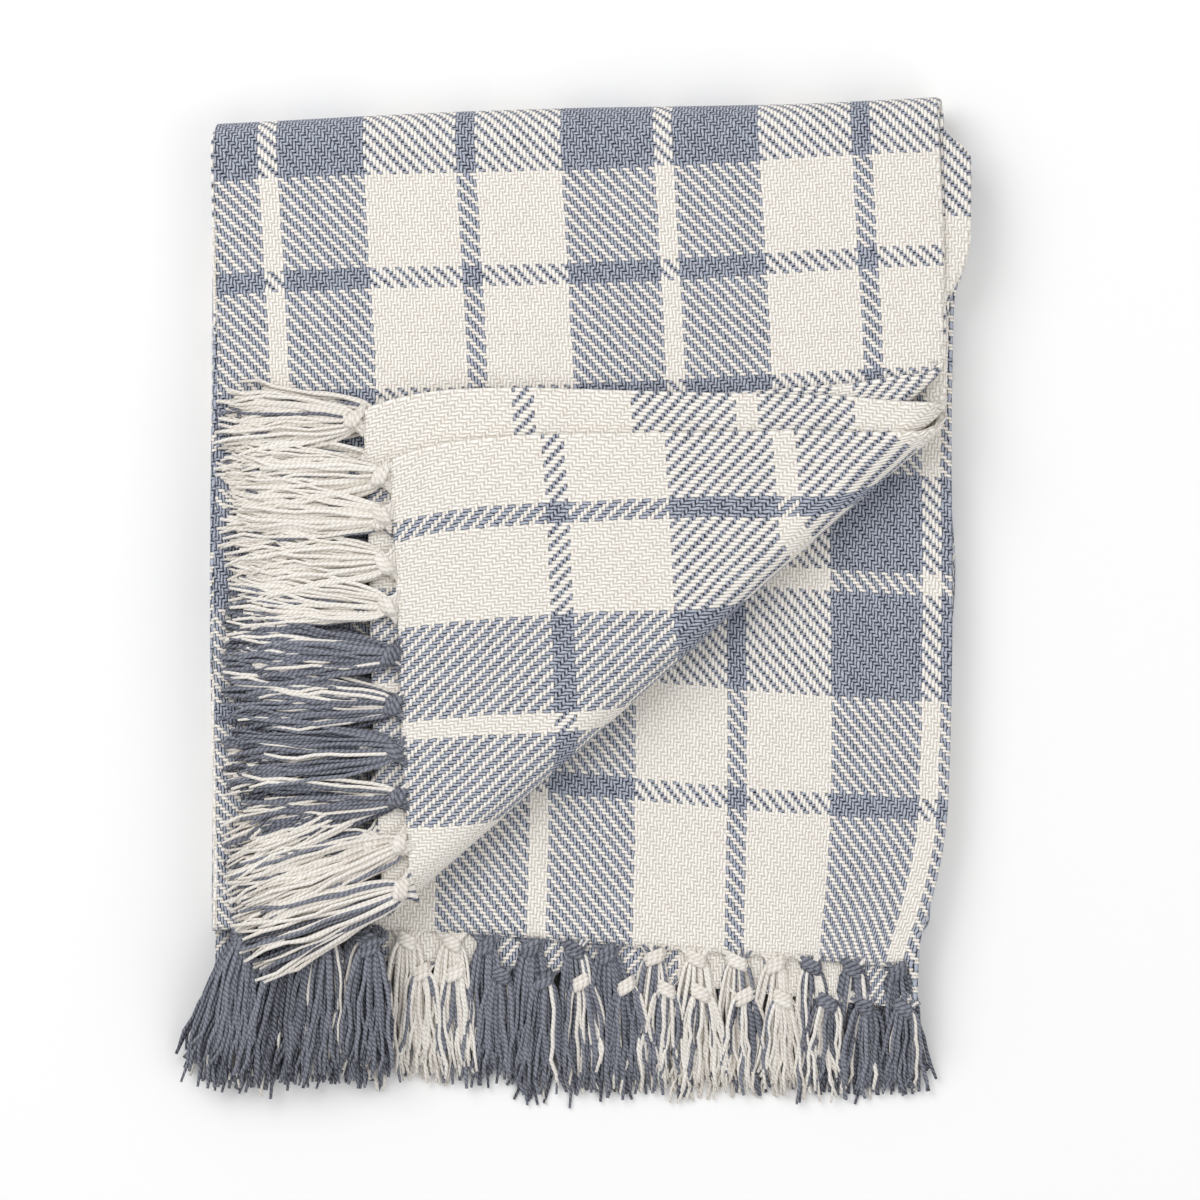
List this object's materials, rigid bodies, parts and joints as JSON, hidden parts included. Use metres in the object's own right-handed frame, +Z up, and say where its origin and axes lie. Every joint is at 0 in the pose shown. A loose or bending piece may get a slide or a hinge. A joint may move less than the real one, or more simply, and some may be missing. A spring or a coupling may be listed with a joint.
{
  "type": "folded throw blanket",
  "caption": "Fringed plaid twill throw folded into a flat rectangular pile, one corner of its upper leaves folded back; the upper half and the corner open like book pages.",
  "frame": {"origin": "on the surface the pile rests on, under the middle of the bounding box", "axes": "+X across the pile, +Y from the fringed end towards the top crease, +Z up through the pile"},
  "size_m": [0.348, 0.452, 0.0437],
  "materials": {
    "plaid_cloth": "matte balanced twill of thick soft yarns, blue-grey and cream plaid",
    "blue_fringe": "matte loose plied yarns, blue-grey",
    "cream_fringe": "matte loose plied yarns, cream",
    "mixed_fringe": "matte loose plied yarns, blue-grey and cream together"
  },
  "bodies": {
    "rear_half": {"rear_leaf_1": "plaid_cloth", "rear_leaf_2": "plaid_cloth", "rear_leaf_3": "plaid_cloth", "rear_leaf_4": "plaid_cloth"},
    "front_half": {"front_leaf_1": "plaid_cloth", "front_leaf_2": "plaid_cloth", "front_leaf_3": "plaid_cloth", "front_leaf_4": "plaid_cloth", "front_tassel_01": "blue_fringe", "front_tassel_02": "blue_fringe", "front_tassel_03": "blue_fringe", "front_tassel_04": "blue_fringe", "front_tassel_05": "cream_fringe", "front_tassel_06": "cream_fringe", "front_tassel_07": "blue_fringe", "front_tassel_08": "blue_fringe", "front_tassel_09": "mixed_fringe", "front_tassel_10": "blue_fringe", "front_tassel_11": "mixed_fringe", "front_tassel_12": "cream_fringe", "front_tassel_13": "mixed_fringe", "front_tassel_14": "cream_fringe", "front_tassel_15": "mixed_fringe", "front_tassel_16": "blue_fringe", "front_tassel_17": "blue_fringe", "left_fringe_1": "blue_fringe", "left_fringe_2": "blue_fringe", "left_fringe_3": "blue_fringe", "left_fringe_4": "blue_fringe", "left_fringe_5": "blue_fringe", "left_tassel_1": "blue_fringe", "left_tassel_2": "blue_fringe", "left_tassel_3": "blue_fringe", "left_tassel_4": "blue_fringe", "lower_fringe": "mixed_fringe"},
    "folded_corner": {"corner_leaf_1": "plaid_cloth", "corner_leaf_2": "plaid_cloth", "corner_leaf_3": "plaid_cloth", "flap_fringe_1": "mixed_fringe", "flap_fringe_2": "mixed_fringe", "flap_fringe_3": "mixed_fringe", "flap_fringe_4": "mixed_fringe", "flap_fringe_5": "mixed_fringe", "flap_tassel_01": "cream_fringe", "flap_tassel_02": "cream_fringe", "flap_tassel_03": "cream_fringe", "flap_tassel_04": "cream_fringe", "flap_tassel_05": "blue_fringe", "flap_tassel_06": "mixed_fringe", "flap_tassel_07": "blue_fringe", "flap_tassel_08": "mixed_fringe", "flap_tassel_09": "cream_fringe", "flap_tassel_10": "mixed_fringe"}
  },
  "joints": [
    {"name": "front_half_fold", "type": "hinge", "parent": "rear_half", "child": "front_half", "pos_m": [0, 0.20391, 0.016], "axis": [-0.9994, -0.0349, 0], "range_deg": [0, 172]},
    {"name": "corner_fold", "type": "hinge", "parent": "front_half", "child": "folded_corner", "pos_m": [0.0375, -0.0175, 0.032], "axis": [0.6947, 0.7193, 0], "range_deg": [0, 180]}
  ]
}
